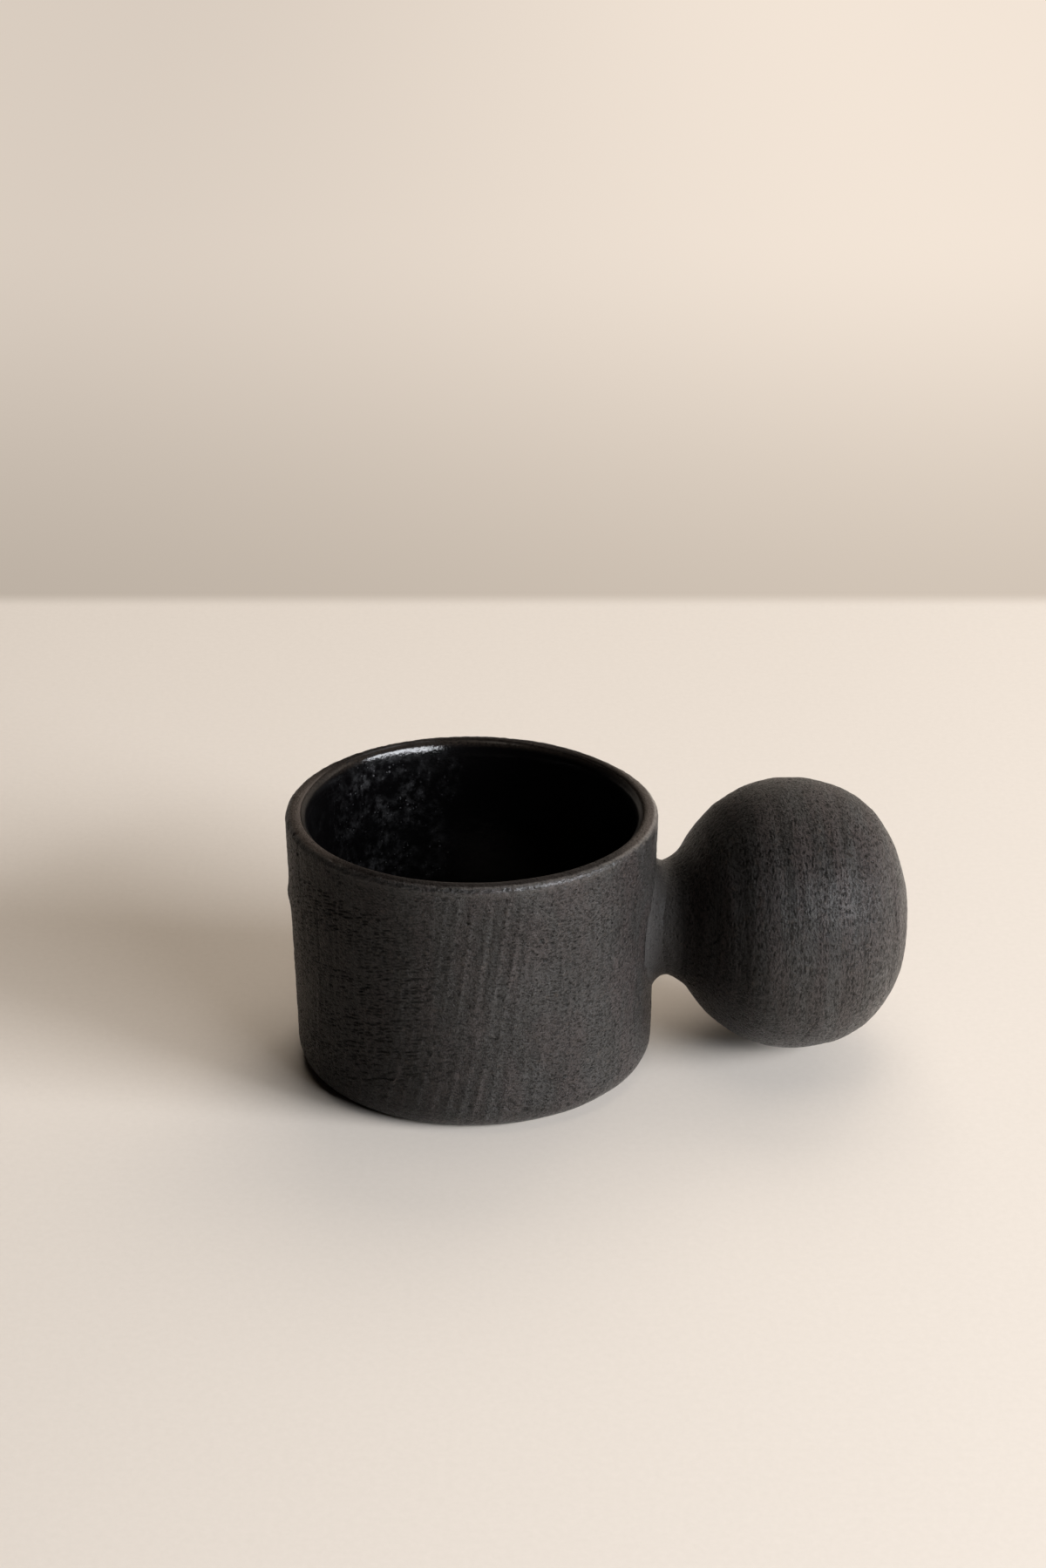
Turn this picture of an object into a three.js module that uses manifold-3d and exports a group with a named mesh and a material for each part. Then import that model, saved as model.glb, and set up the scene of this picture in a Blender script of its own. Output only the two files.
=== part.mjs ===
// Espresso cup of dark stoneware, with a hollow thrown ball for a handle.
// Millimetres, +Z up. The origin is the centre of the flat underside, and the handle points along +X.
import * as THREE from 'three';
import { mergeVertices } from 'three/addons/utils/BufferGeometryUtils.js';
import Module from 'manifold-3d';

const wasm = await Module();
wasm.setup();

// Cup, thrown in one piece with its floor
const cupHeight = 48.5;
const lipRadius = 33; // outside of the wall, at the lip
const footRadius = 31.8; // outside of the wall, carried down to the table
const heelRadius = 5; // rounding between the wall and the underside
const lipThickness = 2.5;
const lipOuterRounding = 0.6;
const lipInnerRounding = 0.5;
const footThickness = 3.4; // of the wall, carried down to the table
const floorThickness = 4.5;
const insideCornerRadius = 6;

// Glaze, poured inside and wiped off the lip
const glazeThickness = 0.4;
const glazeClearance = 0.1;
const bareLipHeight = 0.9; // from the lip's top down to the glaze's upper edge

// Ball handle, thrown as a closed form on a neck, whose axis lies along +X
const ballRadius = 24.45;
const ballLift = 1; // the ball hangs just clear of the table
const ballStandoff = 2.67; // from the wall to the ball's near end, if the ball went on under its neck
const ballNearDepth = 21.95; // from the widest ring towards the cup
const ballFarDepth = 21.3; // from the widest ring to the outer end
const ballFarPower = 2.3; // of the outer half's superellipse, 2 being an ellipse
const neckRadius = 9.9;
const neckSweepRadius = 7.5; // hollow curve from the neck into the ball
const ballWall = 3.6;
const neckWall = 3.8;
const neckTrim = 6; // extra length of neck, cut away to the curve of the wall
const ventRadius = 1; // lets the air out of the ball in the kiln, and points down

const handleHeight = ballLift + ballRadius; // of the axis above the table
const ballReach = wallRadius(handleHeight) + ballStandoff + ballNearDepth; // of the ball's widest ring

// Joint between the neck and the wall
const slipThickness = 0.6;
const coilRadius = 2.2; // hollow rounding of the coil that is smoothed in around the neck
const coilEdge = 0.25; // thickness that the smoothed coil runs out to
const seamClearance = 0.3;

// Facets
const cupSegments = 72;
const handleSegments = 48;
const arcSteps = 6;

const bareClay = new THREE.MeshStandardMaterial({ color: 0x35322f, roughness: 0.85, metalness: 0 });
const blackGlaze = new THREE.MeshStandardMaterial({ color: 0x060607, roughness: 0.12, metalness: 0 });

// Points on an arc about (x, y), from one angle to another, both ends included.
function arc(x, y, radius, from, to, steps = arcSteps) {
  const points = [];
  for (let i = 0; i <= steps; i++) {
    const angle = from + ((to - from) * i) / steps;
    points.push(new THREE.Vector2(x + radius * Math.cos(angle), y + radius * Math.sin(angle)));
  }
  return points;
}

// The value in a range at which a rising function reaches its target.
function solve(rising, target, low, high) {
  for (let i = 0; i < 50; i++) {
    const middle = (low + high) / 2;
    if (rising(middle) < target) low = middle;
    else high = middle;
  }
  return (low + high) / 2;
}

// A profile of (radius, height) points, turned about +Z.
function turned(points, segments) {
  return new THREE.LatheGeometry(points, segments).rotateX(Math.PI / 2);
}

function solidOf(geometry) {
  const bare = geometry.clone();
  bare.deleteAttribute('normal');
  bare.deleteAttribute('uv');
  const merged = mergeVertices(bare, 1e-4);
  return new wasm.Manifold(new wasm.Mesh({
    numProp: 3,
    vertProperties: merged.attributes.position.array,
    triVerts: new Uint32Array(merged.index.array),
  }));
}

function geometryOf(solid) {
  const mesh = solid.getMesh();
  const geometry = new THREE.BufferGeometry();
  geometry.setAttribute('position', new THREE.BufferAttribute(mesh.vertProperties, 3));
  geometry.setIndex(new THREE.BufferAttribute(mesh.triVerts, 1));
  geometry.computeVertexNormals();
  return geometry;
}

function named(name, geometry, material) {
  const mesh = new THREE.Mesh(geometry, material);
  mesh.name = name;
  return mesh;
}

// The wall

// Outside radius of the straight, slightly flared wall at a height.
function wallRadius(z) {
  return footRadius + ((lipRadius - footRadius) * z) / cupHeight;
}

function insideRadius(z) {
  const thickness = footThickness + ((lipThickness - footThickness) * z) / cupHeight;
  return wallRadius(z) - thickness;
}

// Underside, heel and outside of the wall, from the axis up to the lip's rounding.
function outsideProfile() {
  const heelCentre = wallRadius(heelRadius) - heelRadius;
  const shoulder = cupHeight - lipOuterRounding;
  return [
    new THREE.Vector2(0, 0),
    ...arc(heelCentre, heelRadius, heelRadius, -Math.PI / 2, 0),
    ...arc(wallRadius(shoulder) - lipOuterRounding, shoulder, lipOuterRounding, 0, Math.PI / 2),
  ];
}

// Inside of the wall and the floor, from a height down to the axis, moved into the hollow by an offset.
function insideProfile(top, offset) {
  const cornerHeight = floorThickness + insideCornerRadius;
  const cornerCentre = insideRadius(cornerHeight) - insideCornerRadius;
  return [
    new THREE.Vector2(insideRadius(top) - offset, top),
    ...arc(cornerCentre, cornerHeight, insideCornerRadius - offset, 0, -Math.PI / 2),
    new THREE.Vector2(0, floorThickness + offset),
  ];
}

function cupBody() {
  const innerShoulder = cupHeight - lipInnerRounding;
  const innerEdge = insideRadius(innerShoulder) + lipInnerRounding;
  const profile = [
    ...outsideProfile(),
    ...arc(innerEdge, innerShoulder, lipInnerRounding, Math.PI / 2, Math.PI, 3).slice(0, -1),
    ...insideProfile(innerShoulder, 0),
  ];
  return turned(profile, cupSegments);
}

// The glaze is a thin bowl that follows the inside and stops below the lip.
function glazeLining() {
  const top = cupHeight - bareLipHeight;
  const outer = insideProfile(top, glazeClearance).reverse();
  const inner = insideProfile(top, glazeClearance + glazeThickness);
  return turned([...outer, ...inner], cupSegments);
}

// The ball and its neck

// The neck's hollow curve: its centre, and where it ends on the ball's near half, as a point and an angle.
function neckSweep() {
  const onBall = (angle) => new THREE.Vector2(
    ballReach - ballNearDepth * Math.cos(angle),
    ballRadius * Math.sin(angle),
  );
  const outward = (angle) => new THREE.Vector2(
    -Math.cos(angle) / ballNearDepth,
    Math.sin(angle) / ballRadius,
  ).normalize();
  const centreRadius = (angle) => onBall(angle).y + neckSweepRadius * outward(angle).y;
  const angle = solve(centreRadius, neckRadius + neckSweepRadius, 0, Math.PI / 2);
  const end = onBall(angle);
  const centre = end.clone().addScaledVector(outward(angle), neckSweepRadius);
  return { angle, centre, end };
}

const sweep = neckSweep();

// Outside radius of the handle at a distance from the cup's axis, up to the ball's widest ring.
function handleRadius(x) {
  if (x <= sweep.centre.x) return neckRadius;
  if (x <= sweep.end.x) {
    return sweep.centre.y - Math.sqrt(neckSweepRadius ** 2 - (x - sweep.centre.x) ** 2);
  }
  return ballRadius * Math.sqrt(1 - ((ballReach - x) / ballNearDepth) ** 2);
}

// The outside as (radius, distance) points, from the neck's open end to the ball's outer end.
function handleOutside(start) {
  const points = [new THREE.Vector2(neckRadius, start)];
  const sweepEnd = Math.atan2(sweep.end.y - sweep.centre.y, sweep.end.x - sweep.centre.x);
  const sweepSteps = 7;
  for (const p of arc(sweep.centre.x, sweep.centre.y, neckSweepRadius, -Math.PI / 2, sweepEnd, sweepSteps)) {
    points.push(new THREE.Vector2(p.y, p.x));
  }
  const nearSteps = 10;
  for (let i = 1; i <= nearSteps; i++) {
    const angle = sweep.angle + ((Math.PI / 2 - sweep.angle) * i) / nearSteps;
    const x = ballReach - ballNearDepth * Math.cos(angle);
    points.push(new THREE.Vector2(ballRadius * Math.sin(angle), x));
  }
  const farSteps = 14;
  for (let i = 1; i < farSteps; i++) {
    const angle = ((Math.PI / 2) * i) / farSteps;
    points.push(new THREE.Vector2(
      ballRadius * Math.cos(angle) ** (2 / ballFarPower),
      ballReach + ballFarDepth * Math.sin(angle) ** (2 / ballFarPower),
    ));
  }
  points.push(new THREE.Vector2(0, ballReach + ballFarDepth));
  return points;
}

// The hollow, from the ball's outer end back through the neck's bore to its open end.
function handleInside(start) {
  const bore = neckRadius - neckWall;
  const hollowRadius = ballRadius - ballWall;
  const hollowNear = ballNearDepth - ballWall;
  const hollowFar = ballFarDepth - ballWall;
  const mouth = Math.asin(bore / hollowRadius);
  const points = [new THREE.Vector2(0, ballReach + hollowFar)];
  const steps = 16;
  for (let i = 1; i <= steps; i++) {
    const angle = ((Math.PI - mouth) * i) / steps;
    const depth = angle < Math.PI / 2 ? hollowFar : hollowNear;
    points.push(new THREE.Vector2(hollowRadius * Math.sin(angle), ballReach + depth * Math.cos(angle)));
  }
  points.push(new THREE.Vector2(bore, start));
  return points;
}

// A profile of (radius, distance) points, turned about the handle's axis.
function turnedAlongX(points) {
  return new THREE.LatheGeometry(points, handleSegments)
    .rotateZ(-Math.PI / 2)
    .translate(0, 0, handleHeight);
}

// The neck is thrown too long and then cut to the curve of the wall, with room for the slip.
function handleBall() {
  const start = footRadius - neckTrim;
  const outside = handleOutside(start);
  const blank = solidOf(turnedAlongX([...outside, ...handleInside(start), outside[0].clone()]));
  const room = 2 * seamClearance + slipThickness;
  const wallBlank = solidOf(turned([
    new THREE.Vector2(0, 0),
    new THREE.Vector2(wallRadius(0) + room, 0),
    new THREE.Vector2(wallRadius(cupHeight) + room, cupHeight),
    new THREE.Vector2(0, cupHeight),
  ], cupSegments));
  const drillLength = ballRadius + ventRadius;
  const ventDrill = solidOf(
    new THREE.CylinderGeometry(ventRadius, ventRadius, drillLength, 16)
      .rotateX(Math.PI / 2)
      .translate(ballReach, 0, handleHeight - drillLength / 2),
  );
  return geometryOf(blank.subtract(wallBlank).subtract(ventDrill));
}

// The joint

// Where the wall's surface lies along +X, at a radius and an angle about the handle's axis.
function wallAlongX(radius, angle) {
  const y = radius * Math.sin(angle);
  const z = handleHeight + radius * Math.cos(angle);
  return Math.sqrt(wallRadius(z) ** 2 - y ** 2);
}

// A closed ring about the handle's axis. The section gives its (distance, radius) points at each angle.
function saddleRing(section) {
  const count = section(0).length;
  const positions = [];
  const index = [];
  for (let i = 0; i < handleSegments; i++) {
    const angle = (2 * Math.PI * i) / handleSegments;
    for (const p of section(angle)) {
      positions.push(p.x, p.y * Math.sin(angle), handleHeight + p.y * Math.cos(angle));
    }
    const here = i * count;
    const next = ((i + 1) % handleSegments) * count;
    for (let j = 0; j < count; j++) {
      const k = (j + 1) % count;
      index.push(here + j, next + j, next + k, here + j, next + k, here + k);
    }
  }
  const geometry = new THREE.BufferGeometry();
  geometry.setAttribute('position', new THREE.Float32BufferAttribute(positions, 3));
  geometry.setIndex(index);
  geometry.computeVertexNormals();
  return geometry;
}

// The film of slip between the wall and the neck's cut end.
function slipRing() {
  const radii = [neckRadius, neckRadius - neckWall / 2, neckRadius - neckWall];
  return saddleRing((angle) => {
    const near = radii.map((r) => new THREE.Vector2(wallAlongX(r, angle) + seamClearance, r));
    const far = near.map((p) => new THREE.Vector2(p.x + slipThickness, p.y));
    return [...near, ...far.reverse()];
  });
}

// The coil fills the corner round the neck, with a hollow face that runs out on the wall and on the neck.
function jointCoil() {
  const rest = seamClearance + coilEdge;
  return saddleRing((angle) => {
    const onNeck = (x) => handleRadius(x) + seamClearance;
    const innerTop = wallAlongX(onNeck(0), angle) + rest + coilRadius;
    const innerFoot = wallAlongX(onNeck(0), angle) + seamClearance;
    const inner = [0, 0.5, 1].map((t) => {
      const x = innerFoot + (innerTop - innerFoot) * t;
      return new THREE.Vector2(x, onNeck(x));
    });
    const face = arc(0, 0, coilRadius, 0, Math.PI / 2, 8).map((p) => {
      const radius = onNeck(innerTop) + coilEdge + coilRadius - p.x;
      return new THREE.Vector2(wallAlongX(radius, angle) + rest + coilRadius - p.y, radius);
    });
    const outerRadius = face[face.length - 1].y;
    const foot = [0, 1 / 3, 2 / 3].map((t) => {
      const radius = outerRadius + (onNeck(0) - outerRadius) * t;
      return new THREE.Vector2(wallAlongX(radius, angle) + seamClearance, radius);
    });
    return [...inner, ...face, ...foot];
  });
}

const cup = new THREE.Group();
cup.add(
  named('cup_body', cupBody(), bareClay),
  named('glaze_lining', glazeLining(), blackGlaze),
  named('handle_ball', handleBall(), bareClay),
  named('slip_ring', slipRing(), bareClay),
  named('joint_coil', jointCoil(), bareClay),
);

export default cup;
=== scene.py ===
import math

import bpy
import numpy as np
from mathutils import Matrix, Vector


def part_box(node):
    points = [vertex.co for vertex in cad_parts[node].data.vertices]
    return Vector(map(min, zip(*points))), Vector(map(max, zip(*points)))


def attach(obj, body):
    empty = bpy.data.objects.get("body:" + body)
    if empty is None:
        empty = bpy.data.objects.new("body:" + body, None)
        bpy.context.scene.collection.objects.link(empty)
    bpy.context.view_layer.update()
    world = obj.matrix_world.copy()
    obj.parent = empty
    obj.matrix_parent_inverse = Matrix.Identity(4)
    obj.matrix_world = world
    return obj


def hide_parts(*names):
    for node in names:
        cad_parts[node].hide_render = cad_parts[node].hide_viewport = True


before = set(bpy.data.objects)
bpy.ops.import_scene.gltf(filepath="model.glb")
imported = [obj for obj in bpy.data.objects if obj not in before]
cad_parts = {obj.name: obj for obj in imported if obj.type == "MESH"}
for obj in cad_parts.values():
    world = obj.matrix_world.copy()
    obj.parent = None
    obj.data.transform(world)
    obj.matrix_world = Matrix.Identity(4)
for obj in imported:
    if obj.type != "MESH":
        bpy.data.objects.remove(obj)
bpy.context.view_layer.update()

MM = 0.001

# Sizes in millimetres. Those of the whole pieces come from the frame.
cup_high = np.array(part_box("cup_body")[1]) / MM
ball_low, ball_high = (np.array(corner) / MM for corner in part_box("handle_ball"))

CUP_HEIGHT = cup_high[2]
FOOT_RADIUS = 31.8
LIP_RADIUS = 33
HEEL_RADIUS = 5
LIP_THICKNESS = 2.5
FOOT_THICKNESS = 3.4
LIP_CREST = 1.8  # from the outside of the lip to its highest line
LIP_OUTER_DROP = 1.3  # how far the lip's domed top falls towards the outside
LIP_INNER_DROP = 0.45
FLARE = 0.85  # how much the inside opens out just below the lip
FLARE_HEIGHT = 2.7
FLOOR_THICKNESS = 4.5
INSIDE_CORNER = 6
GLAZE_CLEARANCE = 0.1
GLAZE_THICKNESS = 0.4
GLAZE_FEATHER = 1.2  # stretch from its edge over which the glaze reaches its full thickness

BALL_RADIUS = (ball_high[1] - ball_low[1]) / 2
BALL_FAR_DEPTH = 21.3
BALL_NEAR_DEPTH = 21.95
BALL_FAR_POWER = 2.3
BALL_REACH = ball_high[0] - BALL_FAR_DEPTH
HANDLE_HEIGHT = ball_high[2] - BALL_RADIUS
NECK_RADIUS = 9.9
NECK_SWEEP = 7.5
NECK_GAP = 0.9  # from the wall to the neck's end, under the fillet
SADDLE_FADE = 6  # stretch of the neck over which its end bends to the wall's curve
FILLET_RADIUS = 2.9
VENT_RADIUS = 1

# Grooves round the ball: place past its widest line, width and depth
BALL_GROOVES = [(-10.6, 0.6, 0.12), (1.7, 0.7, 0.12)]

# Layers of the relief: depth, cells around, cells along and the seed of the noise
WALL_RELIEF = [
    (0.03, 5, 2, 1),
    (0.035, 7, 9, 2),
    (0.03, 70, 22, 3),
    (0.026, 210, 70, 4),
    (0.042, 460, 108, 8),
]
BALL_RELIEF = [
    (0.08, 7, 6, 51),
    (0.12, 4, 17, 52),
    (0.09, 9, 34, 53),
    (0.035, 26, 80, 56),
    (0.022, 210, 100, 54),
    (0.022, 340, 165, 55),
]
WALL_PIT_DEPTH = 0.24
BALL_PIT_DEPTH = 0.12
CRACK_DEPTH = 0.16
VENT_DEPTH = 3
FILLET_BACK = 0.9  # how far below the neck's surface the fillet's hidden back lies
JOINT_OVERLAP = 0.5  # how far the fillet's hidden back reaches into the wall

# Where the materials change along X, each from one place to another
# Painted shade on the wall: darkest at the first place along X, gone at the second
WALL_PAINTED_SHADE = (-32, 10)
# Painted shade on the neck: darkest at this place, and gone between the two distances of the next line from
# it
NECK_DARKEST = 41
NECK_PAINTED_SHADE = (2, 17)
# Painted light: the joint's clay is paler from the first place to the second
JOINT_PAINTED_LIGHT_PLACES = (37.5, 34.5)
# Painted light: the lip's ends are paler between these distances from the axis
LIP_LIT_ENDS = (21, 30)
SPECKS_LEFT = (-25, -17)
SPECKS_RIGHT = (2, -10)
DULL_ENDS = (20, 27)

# The camera of the photograph, in degrees and millimetres. The handle points a little away from it.
HANDLE_TURN = 5.09
CAMERA_DISTANCE = 598.3
CAMERA_HEIGHT = 318.8
CAMERA_OFFSET = 9.0
CAMERA_PITCH = 23.946
LENS = 85
SENSOR = 36

TABLE_EDGE = 228  # from the cup's axis to the far edge of the table
TABLE_HALF = 3000
LAMP_DISTANCE = 1600


# Number helpers

def smooth(low, high, value):
    t = np.clip((value - low) / (high - low), 0, 1)
    return t * t * (3 - 2 * t)


def bell(value, centre, width):
    return np.exp(-(((value - centre) / width) ** 2))


def turn_from(angle, centre):
    """The angle from a centre in degrees, between -180 and 180."""
    return (np.degrees(angle) - centre + 180) % 360 - 180


def cubic_weights(t):
    return (
        (1 - t) ** 3 / 6,
        (3 * t**3 - 6 * t**2 + 4) / 6,
        (-3 * t**3 + 3 * t**2 + 3 * t + 1) / 6,
        t**3 / 6,
    )


def noise(around, along, cells_around, cells_along, seed):
    """Smooth noise of about -1 to 1. around and along run from 0 to 1, and it repeats around."""
    lattice = np.random.default_rng(seed).uniform(-1.7, 1.7, (cells_around, cells_along + 4))
    u = around * cells_around
    v = np.clip(along, 0, 1) * cells_along
    u_cell = np.floor(u).astype(int)
    v_cell = np.floor(v).astype(int)
    total = 0
    for i, u_weight in enumerate(cubic_weights(u - u_cell)):
        for j, v_weight in enumerate(cubic_weights(v - v_cell)):
            total = total + u_weight * v_weight * lattice[(u_cell + i) % cells_around, v_cell + j]
    return total


def dents(x, z, span, cell, share, length, width, tilt, seed):
    """Scattered hollows of 0 to 1 on an unrolled surface that closes after its span along x.

    Each cell may hold one hollow. Sizes are in millimetres, and the tilt of the hollows is in degrees.
    """
    random = np.random.default_rng(seed)
    columns = round(span / cell[0])
    rows = int(np.max(z) / cell[1]) + 3
    chosen = random.random((columns, rows)) < share
    shift_x = random.uniform(0.2, 0.8, (columns, rows))
    shift_z = random.uniform(0.2, 0.8, (columns, rows))
    size = random.uniform(0.45, 1, (columns, rows))
    u = (x / span % 1) * columns
    v = np.clip(z, 0, None) / cell[1] + 1
    slope = math.radians(tilt)
    total = np.zeros(np.broadcast(x, z).shape)
    for i in (-1, 0, 1):
        for j in (-1, 0, 1):
            column = np.floor(u).astype(int) + i
            row = np.floor(v).astype(int) + j
            place = (column % columns, np.clip(row, 0, rows - 1))
            across = (u - column - shift_x[place]) * span / columns
            up = (v - row - shift_z[place]) * cell[1]
            first = (across * math.cos(slope) + up * math.sin(slope)) / (length * size[place])
            second = (up * math.cos(slope) - across * math.sin(slope)) / (width * size[place])
            inside = smooth(1, 0.35, np.sqrt(first**2 + second**2))
            total = np.maximum(total, inside * chosen[place] * size[place])
    return total


# Mesh helpers

def mesh_object(name, vertices, faces, material, hollow):
    """A piece whose material can read how deep each vertex lies in a pit, as the attribute hollow."""
    mesh = bpy.data.meshes.new(name)
    mesh.from_pydata((vertices * MM).tolist(), [], faces)
    mesh.polygons.foreach_set("use_smooth", [True] * len(mesh.polygons))
    values = np.zeros(len(vertices))
    values[:hollow.size] = hollow.reshape(-1)
    mesh.attributes.new("hollow", "FLOAT", "POINT").data.foreach_set("value", values)
    mesh.materials.append(material)
    mesh.update()
    piece = bpy.data.objects.new(name, mesh)
    bpy.context.scene.collection.objects.link(piece)
    return piece


def ring_faces(rows, columns):
    """Quads between rows of a grid that closes around its columns."""
    row, column = np.meshgrid(np.arange(rows - 1), np.arange(columns), indexing="ij")
    here = row * columns + column
    beside = row * columns + (column + 1) % columns
    quads = np.stack([here, beside, beside + columns, here + columns], axis=-1)
    return quads.reshape(-1, 4).tolist()


def turned_object(name, grid, material, poles=None, hollow=np.zeros(0)):
    """A closed piece from a grid of rows and columns. Its rows end at two poles or close on themselves."""
    rows, columns = grid.shape[:2]
    vertices = grid.reshape(-1, 3)
    faces = ring_faces(rows, columns)
    last = (rows - 1) * columns
    if poles is None:
        faces += [[last + c, last + (c + 1) % columns, (c + 1) % columns, c] for c in range(columns)]
    else:
        vertices = np.vstack([vertices, poles])
        first_pole = rows * columns
        faces += [[first_pole, (c + 1) % columns, c] for c in range(columns)]
        faces += [[first_pole + 1, last + c, last + (c + 1) % columns] for c in range(columns)]
    return mesh_object(name, vertices, faces, material, hollow)


def arc(x, y, radius, start, end, steps):
    angle = np.linspace(start, end, steps)
    return np.stack([x + radius * np.cos(angle), y + radius * np.sin(angle)], axis=1)


def line(start, end, steps):
    return np.linspace(start, end, steps)


def profile_normals(profile):
    """Unit normals to the right of the way that a profile runs."""
    step = np.gradient(profile, axis=0)
    normal = np.stack([step[:, 1], -step[:, 0]], axis=1)
    return normal / np.maximum(np.linalg.norm(normal, axis=1, keepdims=True), 1e-9)


# Node helpers

def new_material(name):
    material = bpy.data.materials.new(name)
    material.use_nodes = True
    tree = material.node_tree
    return material, tree, tree.nodes["Principled BSDF"]


def coordinates(tree, stretch):
    """Object coordinates, divided by a feature's size in millimetres."""
    source = tree.nodes.new("ShaderNodeTexCoord")
    scaled = tree.nodes.new("ShaderNodeMapping")
    scaled.inputs["Scale"].default_value = [1 / (size * MM) for size in stretch]
    tree.links.new(source.outputs["Object"], scaled.inputs["Vector"])
    return scaled.outputs["Vector"]


def noise_texture(tree, stretch, detail=2, roughness=0.5):
    texture = tree.nodes.new("ShaderNodeTexNoise")
    texture.inputs["Scale"].default_value = 1
    texture.inputs["Detail"].default_value = detail
    texture.inputs["Roughness"].default_value = roughness
    tree.links.new(coordinates(tree, stretch), texture.inputs["Vector"])
    return texture.outputs["Fac"]


def hollow_of(tree):
    """How deep the point lies in a pit of the mesh, from 0 to 1."""
    node = tree.nodes.new("ShaderNodeAttribute")
    node.attribute_name = "hollow"
    return node.outputs["Fac"]


def axis_of(tree, axis):
    """The object coordinate along X, Y or Z, in metres."""
    source = tree.nodes.new("ShaderNodeTexCoord")
    separate = tree.nodes.new("ShaderNodeSeparateXYZ")
    tree.links.new(source.outputs["Object"], separate.inputs["Vector"])
    return separate.outputs[axis]


def from_axis(tree):
    """The distance from the Z axis, in metres."""
    source = tree.nodes.new("ShaderNodeTexCoord")
    flat = tree.nodes.new("ShaderNodeVectorMath")
    flat.operation = "MULTIPLY"
    flat.inputs[1].default_value = (1, 1, 0)
    tree.links.new(source.outputs["Object"], flat.inputs[0])
    length = tree.nodes.new("ShaderNodeVectorMath")
    length.operation = "LENGTH"
    tree.links.new(flat.outputs["Vector"], length.inputs[0])
    return length.outputs["Value"]


def remap(tree, value, low, high, new_low, new_high):
    node = tree.nodes.new("ShaderNodeMapRange")
    node.interpolation_type = "SMOOTHSTEP"
    node.inputs["From Min"].default_value = low
    node.inputs["From Max"].default_value = high
    node.inputs["To Min"].default_value = new_low
    node.inputs["To Max"].default_value = new_high
    tree.links.new(value, node.inputs["Value"])
    return node.outputs["Result"]


def fade(tree, value, places, new_low, new_high):
    """Goes from one value to another between two places in millimetres."""
    return remap(tree, value, places[0] * MM, places[1] * MM, new_low, new_high)


def math_node(tree, operation, first, second):
    node = tree.nodes.new("ShaderNodeMath")
    node.operation = operation
    for socket, value in zip(node.inputs, (first, second)):
        if isinstance(value, (int, float)):
            socket.default_value = value
        else:
            tree.links.new(value, socket)
    return node.outputs["Value"]


def product(tree, first, second):
    return math_node(tree, "MULTIPLY", first, second)


def larger(tree, first, second):
    return math_node(tree, "MAXIMUM", first, second)


def one_minus(tree, value):
    return math_node(tree, "SUBTRACT", 1, value)


def off_centre(tree):
    """The distance from the cup's axis along X."""
    return math_node(tree, "ABSOLUTE", axis_of(tree, "X"), 0)


def below_lip(tree):
    """The distance down from the lip's top."""
    return math_node(tree, "SUBTRACT", CUP_HEIGHT * MM, axis_of(tree, "Z"))


def inside_lip(tree):
    """The distance in from the lip's outside."""
    return math_node(tree, "SUBTRACT", LIP_RADIUS * MM, from_axis(tree))


def scale_input(tree, shader, name, factor):
    """Multiplies what already drives one of the shader's inputs."""
    value = shader.inputs[name].links[0].from_socket
    tree.links.new(product(tree, value, factor), shader.inputs[name])


def mix_colour(tree, factor, first, second):
    node = tree.nodes.new("ShaderNodeMix")
    node.data_type = "RGBA"
    sockets = (node.inputs[0], node.inputs[6], node.inputs[7])
    for socket, value in zip(sockets, (factor, first, second)):
        if isinstance(value, bpy.types.NodeSocket):
            tree.links.new(value, socket)
        elif isinstance(value, (int, float)):
            socket.default_value = value
        else:
            socket.default_value = (*value, 1)
    return node.outputs[2]


def bump(tree, height, depth, normal=None):
    """Raises a height of 0 to 1 by depth millimetres, on top of an earlier bump."""
    node = tree.nodes.new("ShaderNodeBump")
    node.inputs["Distance"].default_value = depth * MM
    tree.links.new(height, node.inputs["Height"])
    if normal is not None:
        tree.links.new(normal, node.inputs["Normal"])
    return node.outputs["Normal"]


# Materials

# Colours
CLAY_DARK = (0.0140, 0.0126, 0.0115)
CLAY_LIGHT = (0.0350, 0.0331, 0.0316)
CLAY_BROWN = (0.042, 0.031, 0.024)
CLAY_PURPLE = (0.0325, 0.0252, 0.0238)
# Bare brown clay of the lip, also used for painted light at its ends and inner edge
LIP_CLAY_AND_PAINTED_LIGHT = (0.050, 0.040, 0.033)
# Painted shade on the lip's top, where light only grazes it
LIP_PAINTED_SHADE = (0.009, 0.007, 0.006)
# Painted light: a pale colour that lights the joint
JOINT_PAINTED_LIGHT = (0.060, 0.057, 0.055)
# Dark colour of the clay's pits, also used for painted shade
PIT_AND_PAINTED_SHADE = (0.003, 0.0026, 0.0022)
GLAZE = (0.0007, 0.0006, 0.0007)
GLAZE_SPECK = (0.042, 0.042, 0.043)
GLAZE_EDGE = (0.012, 0.009, 0.007)
TABLE_LIGHT = (0.712, 0.653, 0.587)
TABLE_DARK = (0.648, 0.592, 0.527)
BACKDROP_LOW = (0.545, 0.47, 0.395)
BACKDROP_HIGH = (0.80, 0.70, 0.605)
FILL_LIGHT = (1.0, 0.86, 0.70)
DAYLIGHT = (0.926, 0.951, 1.0)
ROOM_LIGHT = (1.0, 0.90, 0.796)

SKIN_SHEEN = 0.34  # how much of a glossy coat the clay's pressed skin is where it shines most
FILL_STRENGTH = 0.004


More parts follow.
